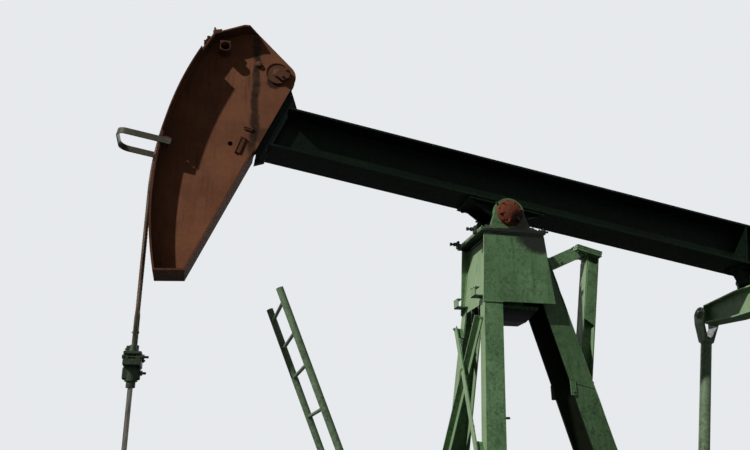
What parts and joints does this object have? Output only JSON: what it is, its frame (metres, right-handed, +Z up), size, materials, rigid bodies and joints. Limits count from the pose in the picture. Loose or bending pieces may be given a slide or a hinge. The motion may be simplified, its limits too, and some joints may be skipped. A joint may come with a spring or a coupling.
{
  "type": "pumpjack",
  "caption": "Beam pumping unit: walking beam with horsehead on a three-legged post, cranks, gearbox and motor on a steel skid, with bridle, polished rod and access ladder.",
  "frame": {"origin": "on the ground below the saddle bearing, on the underside of the skid's middle sole plate", "axes": "+Z up; +X along the unit to the tail of the beam and the motor, so the well is at -X; +Y to the far side of the picture"},
  "size_m": [7.262, 1.31, 4.8825],
  "materials": {
    "green_paint": "weathered mid green paint",
    "dark_paint": "very dark green paint",
    "rusty_plate": "brown rust over old paint",
    "rusty_cap": "rusty red paint",
    "bare_steel": "greasy steel",
    "wire_rope": "greasy wire rope"
  },
  "bodies": {
    "frame": {"skid_beam_near": "green_paint", "skid_beam_far": "green_paint", "skid_cross_members": "green_paint", "front_leg_near": "green_paint", "front_leg_far": "green_paint", "front_bracing": "green_paint", "rear_leg": "green_paint", "post_head_box": "green_paint", "saddle_bearings": "green_paint", "bearing_caps": "rusty_cap", "rest_post": "green_paint", "rest_cap": "green_paint", "ladder_rails": "green_paint", "ladder_rungs": "green_paint", "ladder_foot": "green_paint", "gearbox_stand": "green_paint", "gearbox": "green_paint", "belt_guard": "green_paint", "brake": "dark_paint", "motor": "green_paint", "motor_base": "green_paint"},
    "beam": {"walking_beam": "dark_paint", "saddle_bracket": "dark_paint", "saddle_shaft": "bare_steel", "head_hanger": "dark_paint", "head_side_near": "rusty_plate", "head_side_far": "rusty_plate", "head_rope_face": "rusty_plate", "head_rim_plates": "rusty_plate", "head_pin": "rusty_plate", "rope_guard": "rusty_plate", "rope_anchor": "rusty_plate", "bridle_wrap": "wire_rope", "tail_bearing": "dark_paint"},
    "linkage": {"equalizer": "green_paint", "pitman_near": "green_paint", "pitman_far": "green_paint"},
    "crank": {"crankshaft": "bare_steel", "crank_near": "green_paint", "crank_far": "green_paint", "counterweights_near": "green_paint", "counterweights_far": "green_paint"},
    "rod": {"bridle_rope": "wire_rope", "carrier_bar": "dark_paint", "polished_rod": "bare_steel"}
  },
  "joints": [
    {"name": "beam_rock", "type": "hinge", "parent": "frame", "child": "beam", "pos_m": [0, 0, 3.5], "axis": [0, 1, 0], "range_deg": [-22.69, 7.31]},
    {"name": "tail_hinge", "type": "hinge", "parent": "beam", "child": "linkage", "pos_m": [2.1424, 0, 3.1545], "axis": [0, 1, 0], "range_deg": [-7.31, 22.69]},
    {"name": "crank_spin", "type": "hinge", "parent": "frame", "child": "crank", "pos_m": [2.219, 0, 1.4], "axis": [0, 1, 0], "continuous": true},
    {"name": "rod_slide", "type": "slide", "parent": "frame", "child": "rod", "axis": [0, 0, 1], "range_m": [-1.02, 0.33]}
  ],
  "couplings": [
    {"joint": "tail_hinge", "follows": "beam_rock", "ratio": -1},
    {"joint": "rod_slide", "follows": "beam_rock", "m_per_rad": 2.562}
  ]
}
